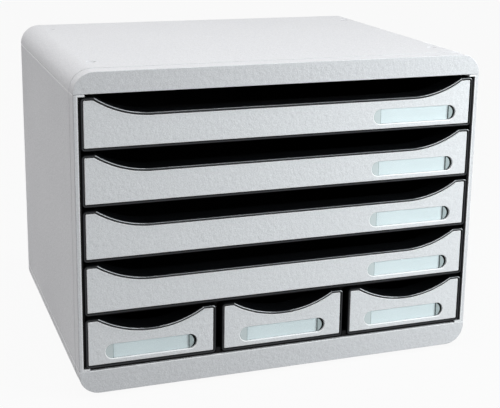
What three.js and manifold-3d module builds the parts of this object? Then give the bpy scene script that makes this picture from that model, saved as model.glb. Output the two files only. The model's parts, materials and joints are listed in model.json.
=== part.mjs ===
// Desktop file drawer: a plastic shell with four wide drawers above a row of three small ones.
// Lengths are millimetres, +Z is up and the drawers open towards -Y.
// The origin lies on the ground, below the middle of the shell.

import * as THREE from 'three';
import { mergeVertices } from 'three/addons/utils/BufferGeometryUtils.js';
import Module from 'manifold-3d';

const wasm = await Module();
wasm.setup();

// Overall size
const width = 355;
const depth = 270;
const shellHeight = 268;
const footHeight = 3;

// Shell: covers, side panels and back panel
const cornerRadius = 17.7;
const coverWall = 2.6;
const bottomStraight = 2.7;
const panelWall = 4;
const panelFlange = 9.5;
const flangeWall = 1.6;
const tongueWall = 1.8;
const tongueHeight = 7;
const tongueEndGap = 4.4;
const frontBand = 15;
const bandStep = 0.3;
const backPanelWall = 2.1;
const backPanelLap = 5.7;
const panRibWall = 2;
const panRibs = 5;

// Clearances
const seam = 0.3;
const runClearance = 0.6;
const overrun = 1;

// Feet, and the sockets in the lid that take the feet of a second unit
const footInsetSide = 24;
const footInsetFront = 44;
const footInsetBack = 35;
const footTipRadius = 3.7;
const footTipHeight = 1.2;
const footCollarRadius = 7;
const footStemRadius = 2.4;
const footStemLength = 6;
const footBossWall = 2;

// Rows and columns of drawers
const wideRows = 4;
const smallColumns = 3;
const rowClearance = 1.2;
const topClearance = 1;
const sideGap = 2;
const columnGap = 5.2;
const columnClearance = 0.75;

// Drawer fronts
const frontDepth = 5;
const frontRound = 3;
const rimWidth = 2;
const plateWall = 2;
const plateSetback = 0.5;
const plateRound = 1;
const plateFit = 0.25;
const scoopShoulder = 11;
const wideScoopRun = 46;
const wideFrontLow = 28.5;
const smallFrontLow = 29.7;
const scoopLipReach = 20;

// Label holders
const slotLength = 77.8;
const slotHeight = 12.8;
const slotEndInset = 13;
const slotRise = 10.5;
const windowEndGap = 1.2;
const windowSetback = 0.4;
const cardMargin = 0.9;
const cardWall = 0.4;

// Trays, runners and stops
const trayWall = 1.8;
const smallTrayInset = 0.4;
const ribDrop = 0.2;
const runnerWall = 2;
const ribReach = 4.9;
const travel = 190;
const stopLength = 5;
const stopHeight = 5;
const stopSetback = 17;
const rackSetback = 1;

// Shelves and dividers
const shelfWall = 1.6;
const shelfSetback = 2;
const ledgeReach = 3;
const ledgeWall = 2.1;
const dividerWall = 2;
const dividerFootHeight = 3.6;
const dividerFootSetback = 1.5;
const dividerWebSetback = 10;
const guideRibHeight = 2.4;
const tenonLength = 20;
const tenonPlaceShare = 0.35;

const arcSteps = 6;
const roundSteps = 20;

// Levels and faces that several pieces share
const halfWidth = width / 2;
const frontY = -depth / 2;
const backY = depth / 2;
const shellBottom = footHeight;
const shellTop = shellBottom + shellHeight;
const openingBottom = shellBottom + cornerRadius + bottomStraight;
const openingTop = shellTop - cornerRadius;
const panelBottom = openingBottom + seam;
const panelTop = openingTop - seam;
const panelInnerX = halfWidth - panelWall;
const flangeInnerX = halfWidth - panelFlange;
const backPanelFrontY = backY - coverWall - seam - backPanelWall;
const innerBackY = backPanelFrontY - seam;

const rowsBottom = panelBottom + flangeWall + seam;
const rowsTop = panelTop - flangeWall - topClearance;
const rowGap = seam + shelfWall + rowClearance;
const frontHeight = (rowsTop - rowsBottom - wideRows * rowGap) / (wideRows + 1);
const rowPitch = frontHeight + rowGap;
const wideHalf = panelInnerX - sideGap;
const smallHalf = (wideHalf - (smallColumns - 1) * columnGap / 2) / smallColumns;
const columnPitch = 2 * smallHalf + columnGap;
const frontBackY = frontY + frontDepth;
const plateFrontY = frontY + plateSetback;
const pocketY = plateFrontY + plateWall;

const rackInnerX = wideHalf + seam;
const rackOuterX = panelInnerX - seam;
const ribInnerX = rackInnerX - ribReach;
const ribFrontY = frontBackY + runClearance;
const runnerOuterX = rackInnerX - runClearance;
const wideTrayHalf = ribInnerX - runClearance;
const smallTrayHalf = smallHalf - smallTrayInset;
const smallWallX = columnGap / 2 + smallTrayInset;
const stopBackY = frontY + stopSetback + stopLength;
const lugFrontY = stopBackY + travel + seam;

// Levels of the runners, measured up from the foot of a drawer's front
const upperRibTop = frontHeight - ribDrop;
const flangeTop = upperRibTop - runnerWall - seam;
const flangeBottom = flangeTop - runnerWall;
const lowerRibTop = flangeBottom - seam;
const lowerRibBottom = lowerRibTop - runnerWall;
const smallWallTop = frontHeight - Math.max(ledgeWall, guideRibHeight - seam) - runClearance;
const smallLugTop = frontHeight + seam - runClearance;

const smallFrontTop = rowsBottom + frontHeight;
const shelfBottom = smallFrontTop + seam;
const baseShelfTop = rowsBottom - seam;

// Materials
const greyPlastic = new THREE.MeshStandardMaterial({ color: 0xc9ccd1, roughness: 0.55, metalness: 0 });
const platePlastic = new THREE.MeshStandardMaterial({ color: 0xd0d3d8, roughness: 0.5, metalness: 0 });
const blackPlastic = new THREE.MeshStandardMaterial({ color: 0x141517, roughness: 0.45, metalness: 0 });
const darkRubber = new THREE.MeshStandardMaterial({ color: 0x2a2b2d, roughness: 0.8, metalness: 0 });
const clearPlastic = new THREE.MeshStandardMaterial({ color: 0xbfd3d6, roughness: 0.15, metalness: 0 });
const labelPaper = new THREE.MeshStandardMaterial({ color: 0xcfe3e6, roughness: 0.85, metalness: 0 });

// Shape helpers

// A straight bar between six faces, in any order of each pair
function block(xA, xB, yA, yB, zA, zB) {
  const geometry = new THREE.BoxGeometry(1, 1, 1);
  const position = geometry.getAttribute('position');
  for (let i = 0; i < position.count; i += 1) {
    position.setXYZ(
      i,
      position.getX(i) > 0 ? Math.max(xA, xB) : Math.min(xA, xB),
      position.getY(i) > 0 ? Math.max(yA, yB) : Math.min(yA, yB),
      position.getZ(i) > 0 ? Math.max(zA, zB) : Math.min(zA, zB),
    );
  }
  return geometry;
}

// An outline drawn in X and Z, made a solid from front to back
function prism(outline, yFront, yBack) {
  const geometry = new THREE.ExtrudeGeometry(outline, {
    depth: yBack - yFront,
    bevelEnabled: false,
    curveSegments: arcSteps,
  });
  const position = geometry.getAttribute('position');
  for (let i = 0; i < position.count; i += 1) {
    const y = position.getZ(i) > 0 ? yFront : yBack;
    position.setXYZ(i, position.getX(i), y, position.getY(i));
  }
  return geometry;
}

// An upright round bar
function disc(x, y, radius, zLow, zHigh) {
  const geometry = new THREE.CylinderGeometry(radius, radius, zHigh - zLow, roundSteps);
  geometry.rotateX(Math.PI / 2);
  geometry.translate(x, y, (zLow + zHigh) / 2);
  return geometry;
}

// A bar with half-round ends, drawn in X and Z about its middle
function stadium(length, height, x, z) {
  const endX = (length - height) / 2;
  const radius = height / 2;
  const outline = new THREE.Shape();
  outline.moveTo(x - endX, z - radius);
  outline.lineTo(x + endX, z - radius);
  outline.absarc(x + endX, z, radius, -Math.PI / 2, Math.PI / 2, false);
  outline.lineTo(x - endX, z + radius);
  outline.absarc(x - endX, z, radius, Math.PI / 2, Math.PI * 3 / 2, false);
  return outline;
}

function toSolid(geometry) {
  const bare = geometry.clone();
  bare.deleteAttribute('normal');
  bare.deleteAttribute('uv');
  const merged = mergeVertices(bare);
  return new wasm.Manifold(new wasm.Mesh({
    numProp: 3,
    vertProperties: merged.getAttribute('position').array,
    triVerts: new Uint32Array(merged.getIndex().array),
  }));
}

function toGeometry(solid) {
  const mesh = solid.getMesh();
  const geometry = new THREE.BufferGeometry();
  geometry.setAttribute('position', new THREE.BufferAttribute(new Float32Array(mesh.vertProperties), 3));
  geometry.setIndex(new THREE.BufferAttribute(new Uint32Array(mesh.triVerts), 1));
  return geometry;
}

// One solid from pieces that touch or overlap, less the cutters
function combine(pieces, cutters) {
  let solid = toSolid(pieces[0]);
  for (const piece of pieces.slice(1)) {
    solid = solid.add(toSolid(piece));
  }
  for (const cutter of cutters) {
    solid = solid.subtract(toSolid(cutter));
  }
  return toGeometry(solid);
}

function part(name, geometry, material) {
  const mesh = new THREE.Mesh(geometry, material);
  mesh.name = name;
  return mesh;
}

// The four places of the feet and sockets, seen from above
const footPlaces = [
  { name: 'front_left', x: -halfWidth + footInsetSide, y: frontY + footInsetFront },
  { name: 'front_right', x: halfWidth - footInsetSide, y: frontY + footInsetFront },
  { name: 'back_left', x: -halfWidth + footInsetSide, y: backY - footInsetBack },
  { name: 'back_right', x: halfWidth - footInsetSide, y: backY - footInsetBack },
];

// Shell

// Half the width inside the covers' rounded corners, at a height beyond their open edges
function cornerReach(height) {
  const innerRadius = cornerRadius - coverWall - bandStep;
  return halfWidth - cornerRadius + Math.sqrt(innerRadius ** 2 - height ** 2);
}

// A cover's outline with its two rounded corners, from its open edge to its outer face
function coverOutline(edgeZ, faceZ, inset) {
  const up = Math.sign(faceZ - edgeZ);
  const radius = cornerRadius - inset;
  const arcX = halfWidth - cornerRadius;
  const arcZ = faceZ - up * cornerRadius;
  const outline = new THREE.Shape();
  outline.moveTo(-arcX - radius, edgeZ);
  outline.lineTo(-arcX - radius, arcZ);
  outline.absarc(-arcX, arcZ, radius, Math.PI, Math.PI * (1 - up / 2), up > 0);
  outline.absarc(arcX, arcZ, radius, up * Math.PI / 2, 0, up > 0);
  outline.lineTo(arcX + radius, edgeZ);
  return outline;
}

// The cover's walls: a lid or a pan, with the band behind its front edge a little lower
function coverPieces(edgeZ, faceZ) {
  const up = Math.sign(faceZ - edgeZ);
  const bandY = frontY + frontBand;
  const outer = [
    prism(coverOutline(edgeZ, faceZ, bandStep), frontY, bandY),
    prism(coverOutline(edgeZ, faceZ, 0), bandY, backY),
  ];
  const hollow = prism(
    coverOutline(edgeZ - up * overrun, faceZ, coverWall + bandStep),
    frontY + coverWall,
    backY - coverWall,
  );
  return { outer, hollow };
}

function topCover() {
  const { outer, hollow } = coverPieces(openingTop, shellTop);
  const sockets = footPlaces.map(({ x, y }) => (
    disc(x, y, footTipRadius + seam, shellTop - footTipHeight, shellTop + overrun)
  ));
  return part('top_cover', combine(outer, [hollow, ...sockets]), greyPlastic);
}

// The pan has ribs from front to back, which carry the base shelf
function bottomCover() {
  const { outer, hollow } = coverPieces(openingBottom, shellBottom);
  const floorZ = shellBottom + coverWall + bandStep;
  const ribPitch = 2 * (halfWidth - cornerRadius) / (panRibs + 1);
  const ribPlaces = Array.from({ length: panRibs }, (_, i) => (i - (panRibs - 1) / 2) * ribPitch);
  const ribs = ribPlaces.map((x) => block(
    x - panRibWall / 2, x + panRibWall / 2,
    frontY + coverWall / 2, innerBackY,
    floorZ - coverWall / 2, baseShelfTop - shelfWall - seam,
  ));
  const stemRadius = footStemRadius + seam;
  const bosses = footPlaces.map(({ x, y }) => (
    disc(x, y, stemRadius + footBossWall, floorZ - coverWall / 2, shellBottom + footStemLength)
  ));
  const bores = footPlaces.map(({ x, y }) => (
    disc(x, y, stemRadius, shellBottom - overrun, shellBottom + footStemLength + overrun)
  ));
  const pan = combine(outer, [hollow]);
  return part('bottom_cover', combine([pan, ...ribs, ...bosses], bores), greyPlastic);
}

function sidePanel(name, side) {
  const bandY = frontY + frontBand;
  const innerX = side * panelInnerX;
  const tongueOuterX = cornerReach(tongueHeight) - runClearance;
  const tongueInnerX = tongueOuterX - tongueWall;
  const tongueFrontY = frontY + coverWall + tongueEndGap;
  const tongueBackY = innerBackY - tongueEndGap / 2;
  const pieces = [
    block(innerX, side * (halfWidth - bandStep), frontY, bandY, panelBottom, panelTop),
    block(innerX, side * halfWidth, bandY, backY, panelBottom, panelTop),
  ];
  for (const [edgeZ, inward] of [[panelBottom, 1], [panelTop, -1]]) {
    const flangeZ = edgeZ + inward * flangeWall;
    const tongueZ = edgeZ - inward * tongueHeight;
    pieces.push(
      block(side * flangeInnerX, side * (panelInnerX + panelWall / 2), frontY, innerBackY, edgeZ, flangeZ),
      block(side * tongueInnerX, side * tongueOuterX, tongueFrontY, tongueBackY, tongueZ, flangeZ),
    );
  }
  return part(name, combine(pieces, []), greyPlastic);
}

function backPanel() {
  const half = cornerReach(backPanelLap) - runClearance;
  const geometry = block(
    -half, half,
    backPanelFrontY, backPanelFrontY + backPanelWall,
    openingBottom - backPanelLap, openingTop + backPanelLap,
  );
  return part('back_panel', geometry, greyPlastic);
}

function foot({ name, x, y }) {
  const profile = [
    new THREE.Vector2(0, 0),
    new THREE.Vector2(footTipRadius, 0),
    new THREE.Vector2(footTipRadius, footTipHeight),
    new THREE.Vector2(footCollarRadius, footTipHeight),
    new THREE.Vector2(footCollarRadius, footHeight),
    new THREE.Vector2(footStemRadius, footHeight),
    new THREE.Vector2(footStemRadius, footHeight + footStemLength),
    new THREE.Vector2(0, footHeight + footStemLength),
  ];
  const geometry = new THREE.LatheGeometry(profile, roundSteps);
  geometry.rotateX(Math.PI / 2);
  const mesh = part(`foot_${name}`, geometry, darkRubber);
  mesh.position.set(x, y, 0);
  return mesh;
}

// Inside the shell

// A side liner with a pair of ribs for each wide drawer and a ledge for the middle shelf
function runnerRack(name, side) {
  const face = side * rackInnerX;
  const rootX = side * (rackInnerX + rackOuterX) / 2;
  const bottomZ = panelBottom + flangeWall + seam;
  const topZ = panelTop - flangeWall - seam;
  const pieces = [
    block(face, side * rackOuterX, frontY + rackSetback, innerBackY, bottomZ, topZ),
    block(
      side * (rackInnerX - ledgeReach), rootX,
      ribFrontY, innerBackY,
      smallFrontTop - ledgeWall, smallFrontTop,
    ),
  ];
  for (let row = 1; row <= wideRows; row += 1) {
    const rowZ = rowsBottom + row * rowPitch;
    const innerX = side * ribInnerX;
    const lowerZ = rowZ + lowerRibBottom;
    const upperZ = rowZ + upperRibTop;
    const stopY = frontY + stopSetback;
    pieces.push(
      block(innerX, rootX, ribFrontY, innerBackY, lowerZ, rowZ + lowerRibTop),
      block(innerX, rootX, ribFrontY, innerBackY, upperZ - runnerWall, upperZ),
      block(innerX, rootX, stopY, stopBackY, lowerZ - stopHeight, lowerZ + runnerWall / 2),
    );
  }
  return part(name, combine(pieces, []), blackPlastic);
}

// Middles of the gaps between the small drawers
const dividerPlaces = Array.from(
  { length: smallColumns - 1 },
  (_, i) => (i - (smallColumns - 2) / 2) * columnPitch,
);

// Middles of the tenons that fix the dividers to the base shelf
const tenonPlaces = [-depth * tenonPlaceShare, depth * tenonPlaceShare];

function baseShelf() {
  const plate = block(
    -flangeInnerX + seam, flangeInnerX - seam,
    frontY + shelfSetback, innerBackY,
    baseShelfTop - shelfWall, baseShelfTop,
  );
  const slots = [];
  for (const x of dividerPlaces) {
    for (const y of tenonPlaces) {
      slots.push(block(
        x - dividerWall / 2 - seam, x + dividerWall / 2 + seam,
        y - tenonLength / 2 - seam, y + tenonLength / 2 + seam,
        baseShelfTop - shelfWall - overrun, baseShelfTop + overrun,
      ));
    }
  }
  return part('base_shelf', combine([plate], slots), blackPlastic);
}

function divider(name, x) {
  const footHalf = columnGap / 2 - columnClearance;
  const footTop = rowsBottom + dividerFootHeight;
  const pieces = [
    block(
      x - footHalf, x + footHalf,
      frontY + dividerFootSetback, innerBackY,
      rowsBottom, footTop,
    ),
    block(
      x - dividerWall / 2, x + dividerWall / 2,
      frontY + dividerWebSetback, innerBackY,
      rowsBottom + dividerFootHeight / 2, smallFrontTop,
    ),
  ];
  for (const y of tenonPlaces) {
    pieces.push(block(
      x - dividerWall / 2, x + dividerWall / 2,
      y - tenonLength / 2, y + tenonLength / 2,
      baseShelfTop - shelfWall + seam, rowsBottom + dividerFootHeight / 2,
    ));
  }
  return part(name, combine(pieces, []), blackPlastic);
}

// The shelf over the small drawers: its ribs guide the dividers and carry the small drawers' stops
function middleShelf() {
  const ribLowZ = shelfBottom - guideRibHeight;
  const rootZ = shelfBottom + shelfWall / 2;
  const pieces = [block(
    -rackInnerX + seam, rackInnerX - seam,
    ribFrontY + runClearance, innerBackY,
    shelfBottom, shelfBottom + shelfWall,
  )];
  for (const x of dividerPlaces) {
    for (const side of [-1, 1]) {
      const ribX = dividerWall / 2 + seam;
      pieces.push(
        block(
          x + side * ribX, x + side * (smallWallX - runClearance),
          frontY + dividerWebSetback, innerBackY, ribLowZ, rootZ,
        ),
        block(
          x + side * ribX, x + side * (smallWallX + trayWall),
          frontY + stopSetback, stopBackY, ribLowZ, rootZ,
        ),
      );
    }
  }
  return part('middle_shelf', combine(pieces, []), blackPlastic);
}

// Drawers

const wideFront = { half: wideHalf, scoopRun: wideScoopRun, low: wideFrontLow };
const smallFront = { half: smallHalf, scoopRun: smallHalf - scoopShoulder, low: smallFrontLow };

// The outline of a drawer front with its finger scoop, moved inwards all round by the inset
function frontOutline({ half, scoopRun, low }, inset, round) {
  const scoopDepth = frontHeight - low;
  const scoopRadius = (scoopRun ** 2 + scoopDepth ** 2) / (2 * scoopDepth);
  const flatHalf = half - scoopShoulder - scoopRun;
  const arcZ = low + scoopRadius;
  const sideX = half - inset;
  const topZ = frontHeight - inset;
  const radius = scoopRadius + inset;
  const rise = Math.asin((arcZ - topZ) / radius);
  const outline = new THREE.Shape();
  outline.moveTo(-sideX + round, inset);
  outline.lineTo(sideX - round, inset);
  outline.absarc(sideX - round, inset + round, round, -Math.PI / 2, 0, false);
  outline.absarc(sideX - round, topZ - round, round, 0, Math.PI / 2, false);
  if (flatHalf > 0) {
    outline.absarc(flatHalf, arcZ, radius, -rise, -Math.PI / 2, true);
    outline.absarc(-flatHalf, arcZ, radius, -Math.PI / 2, rise - Math.PI, true);
  } else {
    outline.absarc(0, arcZ, radius, -rise, rise - Math.PI, true);
  }
  outline.absarc(-sideX + round, topZ - round, round, Math.PI / 2, Math.PI, false);
  outline.absarc(-sideX + round, inset + round, round, Math.PI, Math.PI * 3 / 2, false);
  return outline;
}

// The tray's front wall, with a pocket for the plate
function trayFront(front) {
  return combine(
    [prism(frontOutline(front, 0, frontRound), frontY, frontBackY)],
    [prism(frontOutline(front, rimWidth, plateRound + plateFit), frontY - overrun, pocketY)],
  );
}

// Where the pieces behind a front wall are rooted in it
const rootY = (pocketY + frontBackY) / 2;

// The scoop's edge carried back as a thin curved ledge, between the two shoulders
function scoopLip(front) {
  const endX = front.half - scoopShoulder;
  const outerX = front.half + overrun;
  const lipBackY = frontY + scoopLipReach;
  const cutFrontY = rootY - overrun;
  const cutBackY = lipBackY + overrun;
  const aboveZ = frontHeight + overrun;
  return combine(
    [prism(frontOutline(front, 0, frontRound), rootY, lipBackY)],
    [
      prism(frontOutline(front, trayWall, frontRound), cutFrontY, cutBackY),
      block(-outerX, outerX, cutFrontY, cutBackY, -overrun, trayWall + overrun),
      block(-outerX, -endX, cutFrontY, cutBackY, 0, aboveZ),
      block(endX, outerX, cutFrontY, cutBackY, 0, aboveZ),
    ],
  );
}

// The open box behind the front wall
function trayBox(half, wallTop) {
  return combine(
    [block(-half, half, rootY, innerBackY, 0, wallTop)],
    [block(
      -half + trayWall, half - trayWall,
      rootY - overrun, innerBackY - trayWall,
      trayWall, wallTop + overrun,
    )],
  );
}

// Wide trays hang by side flanges and have lugs that meet the racks' stops
function wideTray(name) {
  const pieces = [trayFront(wideFront), scoopLip(wideFront), trayBox(wideTrayHalf, flangeTop)];
  for (const side of [-1, 1]) {
    const rootX = side * (wideTrayHalf - trayWall / 2);
    pieces.push(
      block(rootX, side * runnerOuterX, ribFrontY, innerBackY, flangeBottom, flangeTop),
      block(
        rootX, side * runnerOuterX,
        lugFrontY, lugFrontY + stopLength,
        lowerRibBottom - stopHeight + seam, lowerRibBottom - seam,
      ),
    );
  }
  return part(name, combine(pieces, []), blackPlastic);
}

// Small trays slide on the base shelf; upstands on the walls beside a divider meet the shelf's stops
function smallTray(name, column) {
  const pieces = [trayFront(smallFront), scoopLip(smallFront), trayBox(smallTrayHalf, smallWallTop)];
  const sides = [];
  if (column > 0) sides.push(-1);
  if (column < smallColumns - 1) sides.push(1);
  for (const side of sides) {
    pieces.push(block(
      side * (smallTrayHalf - trayWall), side * smallTrayHalf,
      lugFrontY, lugFrontY + stopLength,
      smallWallTop - trayWall, smallLugTop,
    ));
  }
  return part(name, combine(pieces, []), blackPlastic);
}

function frontPlate(name, front, labelX) {
  const plate = prism(frontOutline(front, rimWidth + plateFit, plateRound), plateFrontY, pocketY);
  const slot = prism(
    stadium(slotLength, slotHeight, labelX, rimWidth + plateFit + slotRise),
    frontY - overrun, pocketY + overrun,
  );
  return part(name, combine([plate], [slot]), platePlastic);
}

// The card fills the straight part of the slot
const cardLength = slotLength - slotHeight - 2 * seam;
const cardHeight = slotHeight - 2 * cardMargin;

// The clear window bridges the card and stands on its two ends
function labelWindow(name, labelX) {
  const z = rimWidth + plateFit + slotRise;
  const windowY = plateFrontY + windowSetback;
  const outline = stadium(slotLength - 2 * windowEndGap, slotHeight - 2 * seam, labelX, z);
  const cardHalf = cardLength / 2 + seam;
  const space = block(
    labelX - cardHalf, labelX + cardHalf,
    pocketY - cardWall - seam, pocketY + overrun,
    z - slotHeight, z + slotHeight,
  );
  return part(name, combine([prism(outline, windowY, pocketY)], [space]), clearPlastic);
}

function labelCard(name, labelX) {
  const z = rimWidth + plateFit + slotRise;
  const geometry = block(
    labelX - cardLength / 2, labelX + cardLength / 2,
    pocketY - cardWall, pocketY,
    z - cardHeight / 2, z + cardHeight / 2,
  );
  return part(name, geometry, labelPaper);
}

// A drawer's four pieces, placed by the lower middle of its front
function drawer(name, tray, front, labelX, x, z) {
  const group = new THREE.Group();
  group.add(
    tray,
    frontPlate(`${name}_front_plate`, front, labelX),
    labelWindow(`${name}_label_window`, labelX),
    labelCard(`${name}_label_card`, labelX),
  );
  group.position.set(x, 0, z);
  return group;
}

const model = new THREE.Group();
model.add(
  topCover(),
  bottomCover(),
  sidePanel('left_side_panel', -1),
  sidePanel('right_side_panel', 1),
  backPanel(),
  ...footPlaces.map(foot),
  runnerRack('left_runner_rack', -1),
  runnerRack('right_runner_rack', 1),
  middleShelf(),
  baseShelf(),
  divider('left_divider', dividerPlaces[0]),
  divider('right_divider', dividerPlaces[1]),
);

const wideLabelX = wideHalf - rimWidth - plateFit - slotEndInset - slotLength / 2;
for (let i = 1; i <= wideRows; i += 1) {
  const name = `wide_drawer_${i}`;
  const rowZ = rowsBottom + (wideRows + 1 - i) * rowPitch;
  model.add(drawer(name, wideTray(`${name}_tray`), wideFront, wideLabelX, 0, rowZ));
}

const columnNames = ['left', 'middle', 'right'];
for (let i = 0; i < smallColumns; i += 1) {
  const name = `small_drawer_${columnNames[i]}`;
  const columnX = (i - (smallColumns - 1) / 2) * columnPitch;
  model.add(drawer(name, smallTray(`${name}_tray`, i), smallFront, 0, columnX, rowsBottom));
}

export default model;
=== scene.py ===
# %% [markdown]
# # A desktop file drawer
#
# The object stands on a desk and holds papers: a shell of light grey plastic, four wide drawers
# for sheets and folders, and a row of three small drawers below them. Each of its pieces already
# exists as a plain solid at its real size. This lesson dresses those solids. What shows is
# modelled again in the same place, with its soft edges and small details, and every piece gets
# a finish made of nodes.
#
# The first cell loads the plain solids. They stay where they are, and whatever is made below is
# measured from them, so that nothing has to be fitted afterwards. The solids arrive selected.
# An operator acts on all that is selected, which is why each helper below deselects first.

# %% Load the plain solids
import json
import math

import bmesh
import bpy
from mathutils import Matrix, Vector


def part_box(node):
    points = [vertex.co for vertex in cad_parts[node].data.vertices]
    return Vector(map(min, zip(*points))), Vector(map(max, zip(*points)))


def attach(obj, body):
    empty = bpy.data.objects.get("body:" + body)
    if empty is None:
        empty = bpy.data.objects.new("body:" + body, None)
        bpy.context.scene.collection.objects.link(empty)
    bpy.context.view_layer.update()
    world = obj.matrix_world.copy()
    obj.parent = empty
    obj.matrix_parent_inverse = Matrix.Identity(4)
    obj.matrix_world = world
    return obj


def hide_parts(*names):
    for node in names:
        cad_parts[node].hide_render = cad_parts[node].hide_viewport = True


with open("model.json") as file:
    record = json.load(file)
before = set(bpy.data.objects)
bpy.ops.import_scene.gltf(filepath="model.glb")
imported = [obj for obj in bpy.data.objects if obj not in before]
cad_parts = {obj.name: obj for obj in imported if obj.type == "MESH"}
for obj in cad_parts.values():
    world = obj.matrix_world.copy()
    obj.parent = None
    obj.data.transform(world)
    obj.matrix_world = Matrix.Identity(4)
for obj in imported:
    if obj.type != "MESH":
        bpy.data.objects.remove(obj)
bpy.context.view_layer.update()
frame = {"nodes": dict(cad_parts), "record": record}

solids = frame["nodes"]

# %% [markdown]
# ## Measures
#
# Blender counts in metres and a plastics drawing in millimetres, so one value turns millimetres
# into metres. The lid reaches the front, the back and both sides, and gives the shell's faces.
# The three tables below say which body carries a piece, which feet there are, and where the
# rubber feet stand.

# %% Measures that several pieces share
mm = 0.001
seam = 0.3 * mm
overrun = 1 * mm

lid_low, lid_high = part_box("top_cover")
pan_low, pan_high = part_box("bottom_cover")
front_y, back_y = lid_low.y, lid_high.y
half_width = lid_high.x
inner_back_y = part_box("base_shelf")[1].y

body_of = {
    node: body
    for body, members in frame["record"]["behaviour"]["bodies"].items()
    for node in members
}
foot_nodes = ["foot_front_left", "foot_front_right", "foot_back_left", "foot_back_right"]
foot_places = [(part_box(node)[0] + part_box(node)[1]) / 2 for node in foot_nodes]
print(f"front at {front_y:.4f}, back at {back_y:.4f}, half the width {half_width:.4f}")

# %% [markdown]
# ## The camera
#
# The picture was taken from the front left and a little above. Two angles give the direction in
# which the camera looks, and a point on the drawer fronts gives what it looks at. The place
# follows from these and the distance, which is easier to read than three coordinates and a
# rotation. The photographer held the camera very slightly turned about its own axis. The width
# of the film and the focal length are in plain millimetres, because Blender counts them so.
#
# Upright edges hardly come closer together towards the bottom of the picture, as with a view
# camera whose lens is moved up against its film. Blender's lens shift does the same. It is kept
# moderate here, because it also moves the object up in the views from other sides.

# %% Camera
view_azimuth = math.radians(19.633)
view_elevation = math.radians(13.754)
view_roll = math.radians(0.836)
view_distance = 909.9 * mm
view_target = Vector((-32.76 * mm, front_y, 205.1 * mm))
film_width = 36
focal_length = 80.29
lens_shift = -0.12
farthest_seen = 50

look = Vector((
    math.sin(view_azimuth) * math.cos(view_elevation),
    math.cos(view_azimuth) * math.cos(view_elevation),
    -math.sin(view_elevation),
))
camera = bpy.data.objects.new("camera", bpy.data.cameras.new("camera"))
bpy.context.scene.collection.objects.link(camera)
camera.data.sensor_width = film_width
camera.data.lens = focal_length
camera.data.shift_y = lens_shift
camera.data.clip_end = farthest_seen
camera.location = view_target - look * view_distance
camera.rotation_euler = look.to_track_quat("-Z", "Y").to_euler()
camera.rotation_euler.rotate_axis("Z", view_roll)
bpy.context.scene.camera = camera
print(f"camera at {[round(value, 4) for value in camera.location]}")

# %% [markdown]
# ## Helpers for modelling
#
# Modelling by hand has a rhythm: select one object, open it in edit mode, select the edges or
# faces to work on, and run a tool on them. A script follows the same rhythm, but it can't point
# with a mouse. It selects by a test instead: an edge that runs from front to back, a face that
# looks towards the camera, a vertex at a certain height.

# %% Select in code
AXES = {"x": 0, "y": 1, "z": 2}
close_enough = 0.02 * mm
grid = 0.001 * mm
straight_share = 0.999
ridge_angle = math.radians(50)


def select_only(*pieces):
    """Leaves edit mode and selects just these pieces, with the last one active."""
    if bpy.context.mode != "OBJECT":
        bpy.ops.object.mode_set(mode="OBJECT")
    bpy.ops.object.select_all(action="DESELECT")
    for piece in pieces:
        piece.select_set(True)
    if pieces:
        bpy.context.view_layer.objects.active = pieces[-1]


def choose(piece, kind, test):
    """Opens a piece in edit mode, with only what passes the test selected."""
    select_only(piece)
    bpy.ops.object.mode_set(mode="EDIT")
    bpy.ops.mesh.select_mode(type=kind)
    bpy.ops.mesh.select_all(action="DESELECT")
    mesh = bmesh.from_edit_mesh(piece.data)
    parts = {"VERT": mesh.verts, "EDGE": mesh.edges, "FACE": mesh.faces}[kind]
    chosen = [part for part in parts if test(part)]
    for part in chosen:
        part.select_set(True)
    bmesh.update_edit_mesh(piece.data)
    return len(chosen)


def runs_along(edge, axis):
    direction = edge.verts[1].co - edge.verts[0].co
    return abs(direction[AXES[axis]]) > straight_share * direction.length


def lies_at(part, axis, place):
    return all(abs(vert.co[AXES[axis]] - place) < close_enough for vert in part.verts)


def lies_within(part, axis, low, high):
    reach = (low - close_enough, high + close_enough)
    return all(reach[0] < vert.co[AXES[axis]] < reach[1] for vert in part.verts)


def is_ridge(edge):
    """True where two faces meet at a clear angle, so not inside a flat face."""
    return len(edge.link_faces) == 2 and edge.calc_face_angle() > ridge_angle


print("ready to select by place and direction")

# %% [markdown]
# The shell and the trays are injection moulded: straight bars with rounded edges, welded
# together and hollowed out. The helpers of the next cell make a bar or a rod from a primitive,
# round some of its edges with the bevel tool, and join or carve two shapes with the Boolean
# modifier. That modifier is at its best with triangles that lie either exactly in one plane or
# clearly apart. So both shapes are cut into triangles first, and afterwards those that lie in
# one plane are dissolved into a single face again, because the bevel tool prefers whole faces.
# Every shape is also kept on a grid of a thousandth of a millimetre, which is far too fine to
# see and keeps rounding errors from opening a hairline crack. The modifier may number its points
# differently each time it runs, and other tools depend on that order. So points and faces are
# numbered again by their place after each step, and every run gives the same shapes.
#
# The bevel tool puts a few narrow faces in the place of an edge. Two are enough for the finest
# edges and three for small ones, and a curve that the eye can follow has four or more.

# %% Bars, rods, rounded edges, joining and carving
one_plane = math.radians(0.3)
same_place = 0.003 * mm
round_sides = 64
fine_steps = 2
edge_steps = 3
curve_steps = 5


def number_by_place(piece):
    """Puts all points on the grid, and numbers points and faces by their place."""
    select_only(piece)
    mesh = piece.data
    places = [tuple(round(value / grid) * grid for value in vert.co) for vert in mesh.vertices]
    order = sorted(range(len(places)), key=lambda index: places[index])
    number = {index: position for position, index in enumerate(order)}
    rings = []
    for face in mesh.polygons:
        ring = [number[index] for index in face.vertices]
        start = ring.index(min(ring))
        rings.append(ring[start:] + ring[:start])
    mesh.clear_geometry()
    mesh.from_pydata([places[index] for index in order], [], sorted(rings))


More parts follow.
